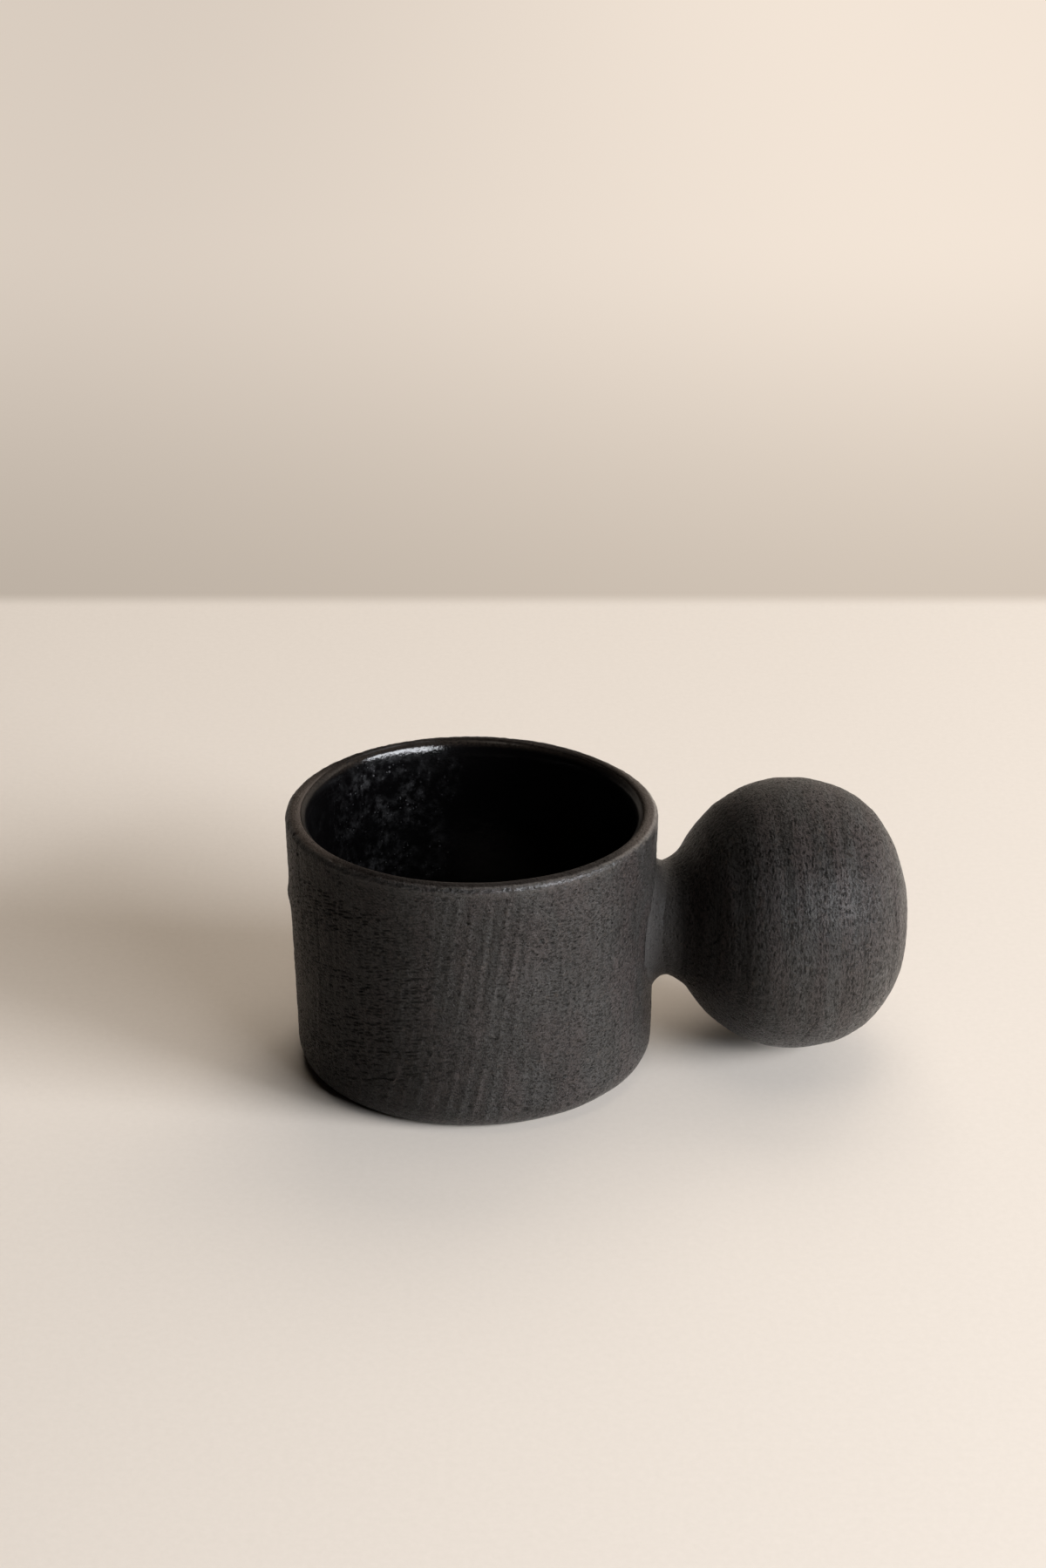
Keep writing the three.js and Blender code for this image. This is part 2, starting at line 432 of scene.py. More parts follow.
def pits(tree, stretch, radius, share):
    """1 inside scattered pits and 0 outside. Each cell of the pattern may hold one pit."""
    texture = tree.nodes.new("ShaderNodeTexVoronoi")
    texture.inputs["Scale"].default_value = 1
    tree.links.new(coordinates(tree, stretch), texture.inputs["Vector"])
    inside = remap(tree, texture.outputs["Distance"], radius * 0.5, radius, 1, 0)
    separate = tree.nodes.new("ShaderNodeSeparateColor")
    tree.links.new(texture.outputs["Color"], separate.inputs["Color"])
    chosen = math_node(tree, "LESS_THAN", separate.outputs["Red"], share)
    return product(tree, inside, chosen)


def blended(tree, first, second, share):
    """A mix of two heights, with this share of the second."""
    return math_node(tree, "ADD", product(tree, first, 1 - share), product(tree, second, share))


def clay_surface(tree, shader, tone, grain, pit, bands, band_depth, tint, painted_light_side):
    """Joins the clay's tones, grain and pits into its colour, shine and relief.

    The last argument is 0 where painted shade darkens the clay and dulls it, and 1 where its pressed skin
    has its full tone and shines.
    """
    fine = noise_texture(tree, (0.3, 0.3, 0.3), 2, 0.6)
    colour = mix_colour(tree, tone, CLAY_DARK, CLAY_LIGHT)
    colour = mix_colour(tree, remap(tree, tint, 0.42, 0.62, 0, 0.65), colour, CLAY_PURPLE)
    # Painted shade: the clay darkens where the last argument is low
    colour = mix_colour(tree, remap(tree, painted_light_side, 0, 1, 0.45, 0), colour, PIT_AND_PAINTED_SHADE)
    rust = remap(tree, noise_texture(tree, (1.1, 1.1, 1.1), 3, 0.6), 0.56, 0.74, 0, 0.5)
    colour = mix_colour(tree, rust, colour, CLAY_BROWN)
    # The low grain, the pits and the mesh's hollows are darkened: partly the clay's own dark marks, partly
    # painted shade in the recesses
    colour = mix_colour(tree, remap(tree, grain, 0.54, 0.38, 0, 0.85), colour, PIT_AND_PAINTED_SHADE)
    hollows = larger(tree, pit, product(tree, hollow_of(tree), 2.3))
    colour = mix_colour(tree, math_node(tree, "MINIMUM", hollows, 0.92), colour, PIT_AND_PAINTED_SHADE)
    tree.links.new(remap(tree, painted_light_side, 0, 1, 0.08, 0.4), shader.inputs["Specular IOR Level"])
    tree.links.new(remap(tree, fine, 0.35, 0.65, 0.28, 0.5), shader.inputs["Roughness"])
    banded = bump(tree, bands, band_depth)
    normal = bump(tree, grain, 0.32, banded)
    normal = bump(tree, fine, 0.2, normal)
    normal = bump(tree, one_minus(tree, pit), 0.24, normal)
    tree.links.new(normal, shader.inputs["Normal"])
    skin = product(tree, remap(tree, grain, 0.42, 0.58, 0.05, 1), painted_light_side)
    tree.links.new(product(tree, skin, SKIN_SHEEN), shader.inputs["Coat Weight"])
    shader.inputs["Coat Roughness"].default_value = 0.3
    tree.links.new(bump(tree, fine, 0.08, banded), shader.inputs["Coat Normal"])
    return colour


def lip_surface(tree, shader, colour, painted_light_side):
    """Shades the lip: shiny outside, dull on top with painted shade, a painted highlight as a pale line at
    the glaze, and brown bare clay made paler with painted light at both ends.
    """
    depth = below_lip(tree)
    inward = inside_lip(tree)
    high = fade(tree, depth, (1.8, 0.8), 0, 0.9)
    outer = fade(tree, inward, (1.0, 0.5), 0, 1)
    crest = fade(tree, inward, (0.2, 0.9), 0, 1)
    # Painted highlight: a pale line along the lip's inner edge
    painted_rim_highlight = fade(tree, inward, (2.0, 2.3), 0, 0.75)
    # Painted light: both ends of the lip are painted paler
    ends = product(tree, crest, fade(tree, off_centre(tree), LIP_LIT_ENDS, 0, 1))
    # Painted shade: the top's inner part is darkened
    colour = mix_colour(tree, product(tree, high, crest), colour, LIP_PAINTED_SHADE)
    colour = mix_colour(tree, product(tree, high, larger(tree, painted_rim_highlight, ends)), colour, LIP_CLAY_AND_PAINTED_LIGHT)
    rounding = product(tree, fade(tree, depth, (3.0, 1.2), 0, 1), outer)
    coat = shader.inputs["Coat Weight"].links[0].from_socket
    tree.links.new(larger(tree, coat, product(tree, rounding, painted_light_side)), shader.inputs["Coat Weight"])
    top = product(tree, high, one_minus(tree, outer))
    for name in ("Specular IOR Level", "Coat Weight"):
        scale_input(tree, shader, name, one_minus(tree, top))
    return colour


def wall_clay():
    """Clay that was turned about Z and trimmed."""
    material, tree, shader = new_material("black_clay_wall")
    patches = noise_texture(tree, (9, 9, 9), 3)
    upright = noise_texture(tree, (0.8, 0.8, 14), 3, 0.6)
    tone = remap(tree, blended(tree, patches, upright, 0.5), 0.3, 0.7, 0.1, 1)
    grain = noise_texture(tree, (0.55, 0.55, 0.36), 3, 0.65)
    small = pits(tree, (0.85, 0.85, 0.6), 0.32, 0.4)
    pit = larger(tree, small, pits(tree, (2.6, 2.6, 2.2), 0.14, 0.5))
    tint = noise_texture(tree, (4.5, 4.5, 15), 3)
    # Painted shade: darker and duller clay on the side away from the handle
    painted_light_side = fade(tree, axis_of(tree, "X"), WALL_PAINTED_SHADE, 0, 1)
    colour = clay_surface(tree, shader, tone, grain, pit, upright, 0.05, tint, painted_light_side)
    colour = lip_surface(tree, shader, colour, painted_light_side)
    tree.links.new(colour, shader.inputs["Base Color"])
    return material


def ball_clay():
    """Clay that was turned about X, with soft bands and fine streaks round the handle's axis."""
    material, tree, shader = new_material("black_clay_ball")
    patches = noise_texture(tree, (12, 12, 12), 3)
    bands = noise_texture(tree, (1.7, 26, 26), 3, 0.6)
    tone = remap(tree, blended(tree, patches, bands, 0.75), 0.36, 0.64, 0, 1)
    grain = noise_texture(tree, (0.34, 0.75, 0.75), 3, 0.65)
    small = pits(tree, (0.6, 0.85, 0.85), 0.32, 0.4)
    pit = larger(tree, small, pits(tree, (2.4, 2.6, 2.6), 0.15, 0.5))
    tint = noise_texture(tree, (2.4, 20, 20), 3)
    # Painted shade: the neck is darker and duller, most at its darkest place
    along = math_node(tree, "SUBTRACT", axis_of(tree, "X"), NECK_DARKEST * MM)
    painted_light_side = fade(tree, math_node(tree, "ABSOLUTE", along, 0), NECK_PAINTED_SHADE, 0, 1)
    colour = clay_surface(tree, shader, tone, grain, pit, bands, 0.2, tint, painted_light_side)
    above = math_node(tree, "SUBTRACT", axis_of(tree, "Z"), HANDLE_HEIGHT * MM)
    worn = fade(tree, above, (11, 20), 1, 0.3)
    for name in ("Specular IOR Level", "Coat Weight"):
        scale_input(tree, shader, name, worn)
    # Painted light: the joint is painted paler, where light would catch it
    painted_joint_light = fade(tree, axis_of(tree, "X"), JOINT_PAINTED_LIGHT_PLACES, 0, 0.6)
    tree.links.new(mix_colour(tree, painted_joint_light, colour, JOINT_PAINTED_LIGHT), shader.inputs["Base Color"])
    return material


def glaze_colour(tree, grit):
    """Black with clouds of pale specks on the side away from the handle, and thin and brown at its edge."""
    clouds = remap(tree, noise_texture(tree, (5, 5, 5), 4, 0.65), 0.38, 0.62, 0.05, 1)
    right = fade(tree, axis_of(tree, "X"), SPECKS_RIGHT, 0, 1)
    left = fade(tree, axis_of(tree, "X"), SPECKS_LEFT, 0.1, 1)
    clouds = product(tree, clouds, product(tree, left, right))
    dots = larger(tree, pits(tree, (0.6, 0.6, 0.6), 0.3, 0.16), pits(tree, (1.5, 1.5, 1.5), 0.2, 0.35))
    haze = remap(tree, noise_texture(tree, (1.6, 1.6, 1.6), 4, 0.7), 0.4, 0.75, 0, 0.5)
    specks = product(tree, larger(tree, dots, haze), clouds)
    colour = mix_colour(tree, specks, GLAZE, GLAZE_SPECK)
    edge = fade(tree, below_lip(tree), (1.4, 0.4), 0, 1)
    thin = product(tree, edge, remap(tree, grit, 0.35, 0.6, 0.3, 1))
    return mix_colour(tree, thin, colour, GLAZE_EDGE)


def glaze_coating():
    """Black glaze: a grainy body under a glossy skin, which ends just below the lip's top."""
    material, tree, shader = new_material("black_glaze_gloss")
    peel = noise_texture(tree, (1.5, 1.5, 1.5), 2)
    grit = noise_texture(tree, (0.42, 0.42, 0.42), 3, 0.6)
    tree.links.new(glaze_colour(tree, grit), shader.inputs["Base Color"])
    shader.inputs["Roughness"].default_value = 0.4
    shader.inputs["Specular IOR Level"].default_value = 0.05
    gloss = fade(tree, below_lip(tree), (0.8, 0.1), 1, 0.04)
    ends = fade(tree, off_centre(tree), DULL_ENDS, 0, 1)
    dull = product(tree, ends, fade(tree, below_lip(tree), (3.4, 1.6), 0, 0.9))
    tree.links.new(product(tree, gloss, one_minus(tree, dull)), shader.inputs["Coat Weight"])
    tree.links.new(remap(tree, grit, 0.4, 0.7, 0.04, 0.10), shader.inputs["Coat Roughness"])
    waves = bump(tree, peel, 0.05)
    tree.links.new(bump(tree, grit, 0.05, waves), shader.inputs["Normal"])
    tree.links.new(bump(tree, grit, 0.03, waves), shader.inputs["Coat Normal"])
    return material


def sees_backdrop(tree, share=1):
    """1 for rays from the camera, and this share for mirror rays and rays through glass."""
    path = tree.nodes.new("ShaderNodeLightPath")
    mirrored = larger(tree, path.outputs["Is Glossy Ray"], path.outputs["Is Transmission Ray"])
    return larger(tree, path.outputs["Is Camera Ray"], product(tree, mirrored, share))


def backdrop_colour(tree):
    """Pale beige that is lighter further up the wall and towards the window."""
    height = fade(tree, axis_of(tree, "Y"), (TABLE_EDGE - 90, 560), 0, 1)
    side = fade(tree, axis_of(tree, "X"), (-150, 150), 0.87, 1.12)
    colour = mix_colour(tree, height, BACKDROP_LOW, BACKDROP_HIGH)
    scale = tree.nodes.new("ShaderNodeVectorMath")
    scale.operation = "SCALE"
    tree.links.new(colour, scale.inputs["Vector"])
    tree.links.new(side, scale.inputs["Scale"])
    return scale.outputs["Vector"]


def floor_material():
    """Pale matt card as far as the table's far edge, and past it the wall behind, which is painted on."""
    material, tree, shader = new_material("pale_card")
    shader.inputs["Roughness"].default_value = 0.9
    shader.inputs["Specular IOR Level"].default_value = 0.2
    fibres = noise_texture(tree, (1.3, 1.3, 1.3), 4, 0.7)
    tree.links.new(mix_colour(tree, fibres, TABLE_DARK, TABLE_LIGHT), shader.inputs["Base Color"])
    behind = fade(tree, axis_of(tree, "Y"), (TABLE_EDGE - 5, TABLE_EDGE + 5), 0, 1)
    backdrop = tree.nodes.new("ShaderNodeEmission")
    tree.links.new(backdrop_colour(tree), backdrop.inputs["Color"])
    mix = tree.nodes.new("ShaderNodeMixShader")
    tree.links.new(product(tree, behind, sees_backdrop(tree)), mix.inputs["Fac"])
    tree.links.new(shader.outputs["BSDF"], mix.inputs[1])
    tree.links.new(backdrop.outputs["Emission"], mix.inputs[2])
    tree.links.new(mix.outputs["Shader"], tree.nodes["Material Output"].inputs["Surface"])
    return material


# Cup

def wall_radius(z):
    return FOOT_RADIUS + (LIP_RADIUS - FOOT_RADIUS) * z / CUP_HEIGHT


def inside_radius(z):
    return wall_radius(z) - FOOT_THICKNESS - (LIP_THICKNESS - FOOT_THICKNESS) * z / CUP_HEIGHT


def ridges(angle, z, spacing, lean, seed):
    """Sharp crests round the wall that lean by a number of millimetres at each height."""
    place = ((np.degrees(angle) % 360) / 360 - lean / (2 * math.pi * FOOT_RADIUS)) % 1
    count = round(2 * math.pi * FOOT_RADIUS / spacing)
    drift = noise(place, z / CUP_HEIGHT, 30, 2, seed)
    crest = np.exp(1.7 * (np.cos(2 * math.pi * count * place + 2.6 * drift) - 1)) - 0.3
    strength = 0.3 + 0.7 * smooth(-0.7, 0.8, noise(place, z / CUP_HEIGHT, 34, 4, seed + 1))
    return crest * strength


def chatter(angle, z):
    """Marks of the trimming tool on the front, in a band under the lip and in another above the foot."""
    front = turn_from(angle, -90)
    steep = 0.14 + 0.24 * smooth(12, -28, front)
    upper = ridges(angle, z, spacing=2.4, lean=0.14 * z, seed=11) * smooth(16, 28, z) * smooth(47.5, 43, z)
    lower = ridges(angle, z, spacing=2.8, lean=steep * z, seed=15) * smooth(27, 12, z)
    return 1.3 * upper * bell(front, 9, 24) + 1.9 * lower * smooth(-58, -34, front) * smooth(34, 14, front)


def long_ridge(angle, z, start, lean, width):
    """One leaning ridge at an angle in degrees from the front, for the whole height of the wall."""
    across = np.radians(turn_from(angle, -90 + start)) * FOOT_RADIUS - lean * z
    return bell(across, 0, width) - 0.5 * bell(across, -1.6 * width, width)


def upright_scores(angle, z):
    """Fine upright grooves near the lip, on the side away from the handle."""
    around = (angle / (2 * math.pi)) % 1
    lines = noise(around, z / CUP_HEIGHT, 300, 2, 21)
    place = bell(turn_from(angle, -155), 0, 15) * smooth(18, 36, z)
    return np.minimum(lines, 0) * place


def wall_dents(angle, z):
    """Pits all over, and short level drag marks away from the handle, from 0 to 1. The valleys of the tool
    marks and of the upright grooves count too, so that they are deepened and darkened with painted shade.
    """
    span = 2 * math.pi * FOOT_RADIUS
    x = (angle / (2 * math.pi) % 1) * span
    torn = 0.15 + 0.95 * bell(turn_from(angle, -142), 0, 36) + 0.6 * bell(turn_from(angle, 70), 0, 40)
    torn = torn * (0.25 + 0.75 * smooth(-0.5, 0.5, noise(x / span, z / CUP_HEIGHT, 22, 11, 75)))
    small = dents(x, z, span, (1.2, 1.0), share=0.45, length=0.36, width=0.26, tilt=0, seed=71)
    large = dents(x, z, span, (4.2, 3.6), share=0.3, length=0.6, width=0.45, tilt=5, seed=72)
    marks = dents(x, z, span, (1.8, 0.6), share=0.7, length=1.0, width=0.24, tilt=13, seed=73)
    long_marks = dents(x, z, span, (3.4, 1.1), share=0.45, length=2.0, width=0.26, tilt=11, seed=74)
    level = np.maximum(marks, long_marks) * torn
    # Painted shade in the valleys of the tool marks and of the upright grooves
    painted_valley_shade = 0.2 * np.clip(-3 * chatter(angle, z), 0, 1)
    painted_score_shade = 0.45 * np.clip(-upright_scores(angle, z), 0, 1)
    return np.maximum.reduce([0.5 * small, 0.8 * large, level, painted_valley_shade + painted_score_shade])


def wall_relief(angle, z):
    """How far the real wall stands off the turned one, in millimetres."""
    around = (angle / (2 * math.pi)) % 1
    up = z / CUP_HEIGHT
    body = smooth(0.5, 4, z)
    relief = sum(depth * noise(around, up, *cells) for depth, *cells in WALL_RELIEF) * body
    relief = relief + 0.17 * chatter(angle, z) * body
    relief = relief + 0.13 * long_ridge(angle, z, start=-34, lean=0.15, width=0.7) * smooth(36, 31, z) * body
    relief = relief + 0.1 * long_ridge(angle, z, start=-66, lean=0.12, width=0.6) * bell(z, 14, 9)
    upper_part = smooth(22, 28, z) * smooth(47, 44, z)
    relief = relief + 0.16 * long_ridge(angle, z, start=-6, lean=0.12, width=0.6) * upper_part
    relief = relief + 0.2 * upright_scores(angle, z)
    nodule = bell(turn_from(angle, 179), 0, 1.8) * bell(z, 33, 1.7)
    relief = relief + 0.4 * nodule
    ragged = noise(around, up, 64, 12, 5) * bell(turn_from(angle, -55), 0, 24) * bell(z, 3, 2.2)
    relief = relief + 0.24 * np.minimum(ragged, 0.2)
    flat_lip = bell(turn_from(angle, 35), 0, 22) * smooth(25, 48, z)
    leaning = 0.2 * np.cos(angle) * smooth(42, 4, z)
    full_lip = bell(turn_from(angle, 172), 0, 42) * smooth(20, 42, z)
    return relief + leaning * body - 0.25 * flat_lip + 0.18 * full_lip


def lathe_grid(profile, columns):
    """Points of a profile of (radius, height) turned about Z, and the angle of each column."""
    angle = np.linspace(0, 2 * math.pi, columns, endpoint=False)
    radius = np.repeat(profile[:, :1], columns, axis=1)
    height = np.repeat(profile[:, 1:], columns, axis=1)
    return radius, height, np.broadcast_to(angle, radius.shape)


def grid_points(radius, height, angle):
    return np.stack([radius * np.cos(angle), radius * np.sin(angle), height], axis=-1)


def lip_edge():
    """Radius and height of the lip's inner edge, where its domed top meets the inside."""
    height = CUP_HEIGHT - LIP_INNER_DROP
    return inside_radius(height), height


def inside_path(steps):
    """The inside from the lip's crest down to the middle of the floor. It opens out below the lip."""
    crest = wall_radius(CUP_HEIGHT) - LIP_CREST
    edge_radius, edge_height = lip_edge()
    dome = np.linspace(math.pi / 2, math.pi, 24)
    low = FLOOR_THICKNESS + INSIDE_CORNER
    height = edge_height + (low - edge_height) * np.linspace(0, 1, steps) ** 1.8
    below = np.clip((edge_height - height) / FLARE_HEIGHT, 0, 1)
    wall = inside_radius(height) - FLARE * (1 - (1 - below) ** 2)
    corner_centre = wall[-1] - INSIDE_CORNER
    inner_dome = np.stack([
        crest + (crest - edge_radius) * np.cos(dome),
        edge_height + LIP_INNER_DROP * np.sin(dome),
    ], axis=1)
    return np.vstack([
        inner_dome,
        np.stack([wall, height], axis=1)[1:],
        arc(corner_centre, low, INSIDE_CORNER, 0, -math.pi / 2, 12)[1:],
        line((corner_centre, FLOOR_THICKNESS), (1, FLOOR_THICKNESS), 8)[1:],
    ])


def cup_profile():
    """Underside, heel, wall, lip and inside. Returns the points and how much of the relief each takes."""
    heel_centre = wall_radius(HEEL_RADIUS) - HEEL_RADIUS
    shoulder = CUP_HEIGHT - LIP_OUTER_DROP
    crest = wall_radius(CUP_HEIGHT) - LIP_CREST
    dome = np.linspace(0, math.pi / 2, 20)
    outer_dome = np.stack([
        crest + (wall_radius(shoulder) - crest) * np.cos(dome),
        shoulder + LIP_OUTER_DROP * np.sin(dome),
    ], axis=1)
    parts = [
        (line((1, 0), (heel_centre - 0.6, 0), 8), 0),
        (arc(heel_centre, HEEL_RADIUS, HEEL_RADIUS, -math.pi / 2, 0, 36), 1),
        (line((wall_radius(HEEL_RADIUS), HEEL_RADIUS), (wall_radius(shoulder), shoulder), 340)[1:-1], 1),
        (outer_dome, 1 - 0.8 * smooth(0.9, 1.57, dome)),
        (inside_path(16)[1:], 0),
    ]
    share = np.concatenate([np.broadcast_to(value, len(points)) for points, value in parts])
    return np.vstack([points for points, _ in parts]), share


def lip_relief(angle):
    """Small rises and falls of the lip's top."""
    around = (angle / (2 * math.pi)) % 1
    flat = np.zeros_like(around)
    raised = 0.3 * bell(turn_from(angle, 108), 0, 38)
    return raised + 0.04 * noise(around, flat, 9, 1, 31) + 0.03 * noise(around, flat, 46, 1, 32)


def thin_lip(radius, height, angle):
    """The lip is thinner at the back, where its inner edge lies further out."""
    crest = wall_radius(CUP_HEIGHT) - LIP_CREST
    inside = smooth(crest, crest - 1, radius) * smooth(CUP_HEIGHT - 6, CUP_HEIGHT - 1, height)
    return radius + 0.5 * bell(turn_from(angle, 112), 0, 45) * inside


def make_cup(material):
    columns = 1152
    profile, share = cup_profile()
    normals = profile_normals(profile)
    radius, height, angle = lathe_grid(profile, columns)
    hollow = wall_dents(angle, height) * smooth(0.5, 4, height) * share[:, None]
    relief = (wall_relief(angle, height) - WALL_PIT_DEPTH * hollow) * share[:, None]
    radius = thin_lip(radius, height, angle) + normals[:, :1] * relief
    height = height + normals[:, 1:] * relief
    height = height + lip_relief(angle) * smooth(CUP_HEIGHT - 4, CUP_HEIGHT - 1, height)
    height = np.clip(height, 0, None)
    grid = grid_points(radius, height, angle)
    piece = turned_object("cup_shell", grid, material, [(0, 0, 0), (0, 0, FLOOR_THICKNESS)], hollow)
    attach(piece, "root")
    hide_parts("cup_body")


def glaze_edge(angle):
    """How far the glaze's edge is from the lip's crest, along the clay. It climbs higher at the back."""
    around = (angle / (2 * math.pi)) % 1
    flat = np.zeros_like(around)
    climb = 0.9 * bell(turn_from(angle, 105), 0, 48)
    return 1.15 - climb + 0.12 * noise(around, flat, 14, 1, 41) + 0.06 * noise(around, flat, 70, 1, 42)


def make_glaze(material):
    """A coat of glaze that follows the inside of the cup and thins out at its wavy edge."""
    columns = 480
    rows = 170
    path = inside_path(120)
    normals = -profile_normals(path[::-1])[::-1]
    length = np.concatenate([[0], np.cumsum(np.linalg.norm(np.diff(path, axis=0), axis=1))])
    angle = np.broadcast_to(np.linspace(0, 2 * math.pi, columns, endpoint=False), (rows, columns))
    share = np.linspace(0, 1, rows)[:, None] ** 1.5
    edge = glaze_edge(angle)
    place = edge + (length[-1] - edge) * share
    around = angle / (2 * math.pi)
    waves = 0.05 * noise(around, share, 9, 5, 43) + 0.02 * noise(around, share, 60, 30, 44)
    full = GLAZE_THICKNESS * 0.75 + waves
    film = GLAZE_CLEARANCE + full * smooth(0, GLAZE_FEATHER, place - edge)
    sides = []
    for depth in (GLAZE_CLEARANCE * 0.4 + place * 0, film):
        radius = np.interp(place, length, path[:, 0]) + depth * np.interp(place, length, normals[:, 0])
        height = np.interp(place, length, path[:, 1]) + depth * np.interp(place, length, normals[:, 1])
        radius = thin_lip(radius, height, angle)
        height = height + lip_relief(angle) * smooth(CUP_HEIGHT - 4, CUP_HEIGHT - 1, height)
        sides.append(grid_points(radius, height, angle))
    grid = np.concatenate([sides[0][::-1], sides[1]])
    low = FLOOR_THICKNESS + GLAZE_CLEARANCE * 0.4
    high = FLOOR_THICKNESS + GLAZE_CLEARANCE + GLAZE_THICKNESS * 0.75
    piece = turned_object("glaze_coat", grid, material, [(0, 0, low), (0, 0, high)])
    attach(piece, "root")
    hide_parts("glaze_lining")


# Ball handle

def neck_sweep():
    """The angle on the ball's near half where the neck's hollow curve ends, and the curve's centre."""
    low, high = 0, math.pi / 2
    for _ in range(50):
        angle = (low + high) / 2
        outward = Vector((-math.cos(angle) / BALL_NEAR_DEPTH, math.sin(angle) / BALL_RADIUS)).normalized()
        on_ball = Vector((BALL_REACH - BALL_NEAR_DEPTH * math.cos(angle), BALL_RADIUS * math.sin(angle)))
        centre = on_ball + NECK_SWEEP * outward
        if centre.y < NECK_RADIUS + NECK_SWEEP:
            low = angle
        else:
            high = angle
    return angle, centre, on_ball


SWEEP_ANGLE, SWEEP_CENTRE, SWEEP_END = neck_sweep()


def handle_profile(start):
    """The outside as points of (distance, radius), from the neck's end to near the ball's outer end."""
    sweep_end = math.atan2(SWEEP_END.y - SWEEP_CENTRE.y, SWEEP_END.x - SWEEP_CENTRE.x)
    near = np.linspace(SWEEP_ANGLE, math.pi / 2, 150)[1:]
    far = np.linspace(0, math.pi / 2, 220)[1:-1]
    power = 2 / BALL_FAR_POWER
    sweep_start = math.asin((start - SWEEP_CENTRE.x) / NECK_SWEEP) - math.pi / 2
    near_half = np.stack([
        BALL_REACH - BALL_NEAR_DEPTH * np.cos(near),
        BALL_RADIUS * np.sin(near),
    ], axis=1)
    far_half = np.stack([
        BALL_REACH + BALL_FAR_DEPTH * np.sin(far) ** power,
        BALL_RADIUS * np.cos(far) ** power,
    ], axis=1)
    sweep = arc(SWEEP_CENTRE.x, SWEEP_CENTRE.y, NECK_SWEEP, sweep_start, sweep_end, 36)
    return np.vstack([sweep, near_half, far_half])


def ball_relief(turn, along, distance):
    """How far the real ball stands off the turned one. turn is about the handle, along runs from 0 to 1."""
    around = (turn / (2 * math.pi)) % 1
    relief = sum(depth * noise(around, along, *cells) for depth, *cells in BALL_RELIEF)
    for place, width, depth in BALL_GROOVES:
        wander = 0.35 * noise(around, along * 0, 6, 1, 57)
        strength = 0.5 + 0.5 * noise(around, along * 0, 9, 1, 58)
        relief = relief - depth * bell(distance - BALL_REACH + wander, place, width) * strength
    return relief


def ball_dents(turn, depth_along):
    """Pits, and short drag marks about the handle's axis, from 0 to 1."""
    span = 2 * math.pi * BALL_RADIUS
    x = (turn / (2 * math.pi) % 1) * span
    torn = 0.2 + 0.8 * smooth(-0.3, 0.5, noise(x / span, depth_along / 80, 6, 5, 84))
    small = dents(x, depth_along, span, (1.3, 1.3), share=0.4, length=0.34, width=0.3, tilt=0, seed=81)
    large = dents(x, depth_along, span, (4.0, 3.6), share=0.3, length=0.6, width=0.45, tilt=0, seed=82)
    marks = dents(x, depth_along, span, (2.2, 0.7), share=0.45, length=1.05, width=0.2, tilt=4, seed=83)
    return np.maximum.reduce([0.5 * small, 0.8 * large, marks * torn])


def crack(turn, distance):
    """A short dry crack low on the front of the ball, 1 at its deepest."""
    along = turn_from(turn, 237)
    middle = BALL_REACH + 1.4 + 0.11 * along + 0.08 * np.sin(np.radians(along * 24))
    return bell(distance, middle, 0.16) * smooth(13, 7, np.abs(along))


def saddle_start(turn, radius):
    """Where the cup's wall lies along X at a turn about the handle's axis and a radius from it."""
    y = radius * np.sin(turn)
    z = HANDLE_HEIGHT + radius * np.cos(turn)
    return np.sqrt(wall_radius(z) ** 2 - y**2)


def handle_points(distance, radius, turn):
    return np.stack([distance, radius * np.sin(turn), HANDLE_HEIGHT + radius * np.cos(turn)], axis=-1)


def make_ball(material):
    columns = 960
    start = wall_radius(HANDLE_HEIGHT) + NECK_GAP
    profile = handle_profile(start)
    normals = profile_normals(profile)
    turn = np.linspace(0, 2 * math.pi, columns, endpoint=False)
    turn = np.broadcast_to(turn, (len(profile), columns))
    length = np.concatenate([[0], np.cumsum(np.linalg.norm(np.diff(profile, axis=0), axis=1))])
    travelled = np.repeat(length[:, None], columns, axis=1)
    pole_fade = smooth(0, 4, profile[:, 1])[:, None]
    relief = ball_relief(turn, travelled / length[-1], profile[:, :1]) * pole_fade
    hollow = ball_dents(turn, travelled) * pole_fade
    relief = relief - BALL_PIT_DEPTH * hollow
    down = (turn - math.pi) * profile[:, 1:]
    across = profile[:, :1] - BALL_REACH
    relief = relief - CRACK_DEPTH * crack(turn, profile[:, :1])
    vent = np.sqrt(down**2 + across**2)
    relief = relief - VENT_DEPTH * smooth(VENT_RADIUS + 0.25, VENT_RADIUS - 0.25, vent)
    distance = profile[:, :1] - normals[:, :1] * relief
    radius = profile[:, 1:] - normals[:, 1:] * relief
    saddle = saddle_start(turn, NECK_RADIUS) + NECK_GAP - start
    distance = distance + saddle * smooth(start + SADDLE_FADE, start, profile[:, :1])
    grid = handle_points(distance, radius, turn)
    poles = [(start, 0, HANDLE_HEIGHT), (BALL_REACH + BALL_FAR_DEPTH, 0, HANDLE_HEIGHT)]
    piece = turned_object("ball_handle", grid, material, poles, hollow)
    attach(piece, "root")
    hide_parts("handle_ball")


def neck_radius(distance):
    """The radius of the neck's hollow curve at a distance along X."""
    return SWEEP_CENTRE.y - np.sqrt(NECK_SWEEP**2 - (distance - SWEEP_CENTRE.x) ** 2)


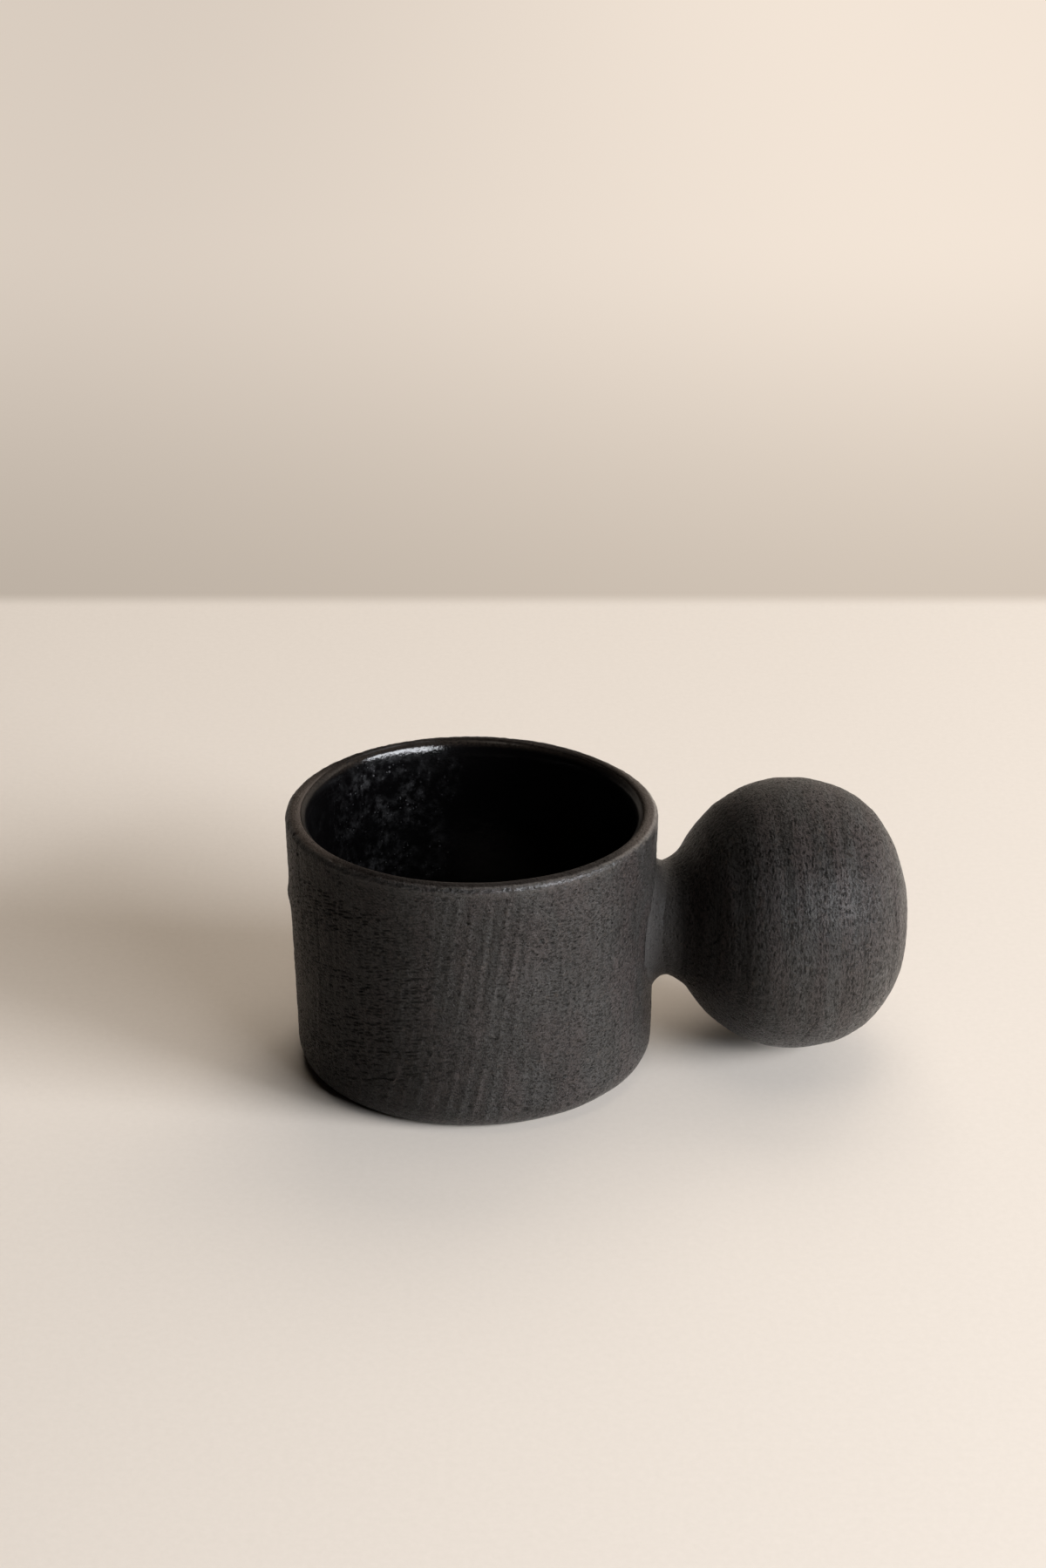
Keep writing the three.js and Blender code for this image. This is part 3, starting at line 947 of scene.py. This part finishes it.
def make_fillet(material):
    """The coil that is smoothed in round the neck, as a hollow rounding from the wall to the neck."""
    columns = 360
    turn = np.linspace(0, 2 * math.pi, columns, endpoint=False)
    around = turn / (2 * math.pi)
    size = FILLET_RADIUS * (1 + 0.1 * noise(around, around * 0, 7, 1, 61) + 0.12 * (1 - np.cos(turn)))
    rows = []
    for step in np.linspace(0, math.pi / 2, 28):
        rise = size * (1 - math.sin(step))
        on_wall = saddle_start(turn, NECK_RADIUS + rise)
        distance = on_wall + size * (1 - math.cos(step)) - 0.12 * math.cos(step)
        lump = 0.03 * noise(around, around * 0 + step / 2, 50, 8, 62) * math.sin(2 * step)
        radius = neck_radius(distance) + rise + lump - 0.04 * math.sin(step)
        rows.append(handle_points(distance, radius, turn))
    inner = NECK_RADIUS - FILLET_BACK
    for share in (1, 0):
        distance = saddle_start(turn, inner) - JOINT_OVERLAP + share * (FILLET_RADIUS + 0.3)
        rows.append(handle_points(distance, inner, turn))
    piece = turned_object("joint_fillet", np.array(rows), material)
    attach(piece, "root")
    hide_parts("joint_coil")


# Stage

def make_floor(turned):
    size = TABLE_HALF * MM
    mesh = bpy.data.meshes.new("floor")
    corners = [(-size, -size, 0), (size, -size, 0), (size, size, 0), (-size, size, 0)]
    mesh.from_pydata(corners, [], [[0, 1, 2, 3]])
    mesh.materials.append(floor_material())
    floor = bpy.data.objects.new("floor", mesh)
    floor.matrix_world = turned
    bpy.context.scene.collection.objects.link(floor)


def make_camera(turned):
    data = bpy.data.cameras.new("camera")
    data.lens = LENS
    data.sensor_width = SENSOR
    data.clip_start = 0.01
    camera = bpy.data.objects.new("camera", data)
    place = Matrix.Translation(Vector((CAMERA_OFFSET, -CAMERA_DISTANCE, CAMERA_HEIGHT)) * MM)
    tilt = Matrix.Rotation(math.radians(90 - CAMERA_PITCH), 4, "X")
    camera.matrix_world = turned @ place @ tilt
    bpy.context.scene.collection.objects.link(camera)
    bpy.context.scene.camera = camera


def area_light(turned, name, azimuth, elevation, size, power, colour, mirrored=True):
    """A lamp that looks at the cup. Azimuth 0 is the photograph's right, and 90 is away from it.

    A lamp that isn't mirrored lights the surfaces but doesn't show in a glossy one.
    """
    data = bpy.data.lights.new(name, "AREA")
    data.shape = "RECTANGLE"
    data.size = size[0]
    data.size_y = size[1]
    data.energy = power
    data.color = colour
    lamp = bpy.data.objects.new(name, data)
    level = math.cos(math.radians(elevation))
    away = Vector((
        level * math.cos(math.radians(azimuth)),
        level * math.sin(math.radians(azimuth)),
        math.sin(math.radians(elevation)),
    ))
    facing = away.to_track_quat("Z", "Y").to_matrix().to_4x4()
    lamp.matrix_world = turned @ Matrix.Translation(away * LAMP_DISTANCE * MM) @ facing
    lamp.visible_glossy = mirrored
    bpy.context.scene.collection.objects.link(lamp)


def make_lights(turned):
    area_light(turned, "window", -24, 12.5, (0.8, 0.42), 49, DAYLIGHT, mirrored=False)
    area_light(turned, "window_high", -38, 27.5, (1.35, 0.26), 21, DAYLIGHT)
    area_light(turned, "ceiling", 0, 86, (1.0, 1.0), 4.8, ROOM_LIGHT)
    area_light(turned, "far_wall", 80, 48, (1.0, 1.0), 8.6, ROOM_LIGHT)
    area_light(turned, "far_corner", 42, 34, (1.0, 1.0), 3.8, ROOM_LIGHT)
    area_light(turned, "far_low", 60, 15, (0.9, 0.7), 4.0, ROOM_LIGHT, mirrored=False)
    make_world()


def make_world():
    """A dark room with a very weak warm fill. Near the horizon it is seen as the pale backdrop."""
    world = bpy.data.worlds.new("studio")
    world.use_nodes = True
    tree = world.node_tree
    fill = tree.nodes["Background"]
    fill.inputs["Color"].default_value = (*FILL_LIGHT, 1)
    fill.inputs["Strength"].default_value = FILL_STRENGTH
    backdrop = tree.nodes.new("ShaderNodeBackground")
    backdrop.inputs["Color"].default_value = (*BACKDROP_HIGH, 1)
    backdrop.inputs["Strength"].default_value = 1
    direction = tree.nodes.new("ShaderNodeTexCoord")
    separate = tree.nodes.new("ShaderNodeSeparateXYZ")
    tree.links.new(direction.outputs["Generated"], separate.inputs["Vector"])
    near_horizon = remap(tree, separate.outputs["Z"], 0.5, 0.2, 0, 1)
    behind = remap(tree, separate.outputs["Y"], 0.3, 0.85, 0, 1)
    mix = tree.nodes.new("ShaderNodeMixShader")
    tree.links.new(product(tree, near_horizon, sees_backdrop(tree, behind)), mix.inputs["Fac"])
    tree.links.new(fill.outputs["Background"], mix.inputs[1])
    tree.links.new(backdrop.outputs["Background"], mix.inputs[2])
    tree.links.new(mix.outputs["Shader"], tree.nodes["World Output"].inputs["Surface"])
    bpy.context.scene.world = world


turned = Matrix.Rotation(math.radians(-HANDLE_TURN), 4, "Z")
turned_clay = ball_clay()
make_cup(wall_clay())
make_glaze(glaze_coating())
make_ball(turned_clay)
make_fillet(turned_clay)
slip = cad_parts["slip_ring"]
slip.data.materials.clear()
slip.data.materials.append(turned_clay)

make_floor(turned)
make_camera(turned)
make_lights(turned)
bpy.context.scene.view_settings.view_transform = "Standard"
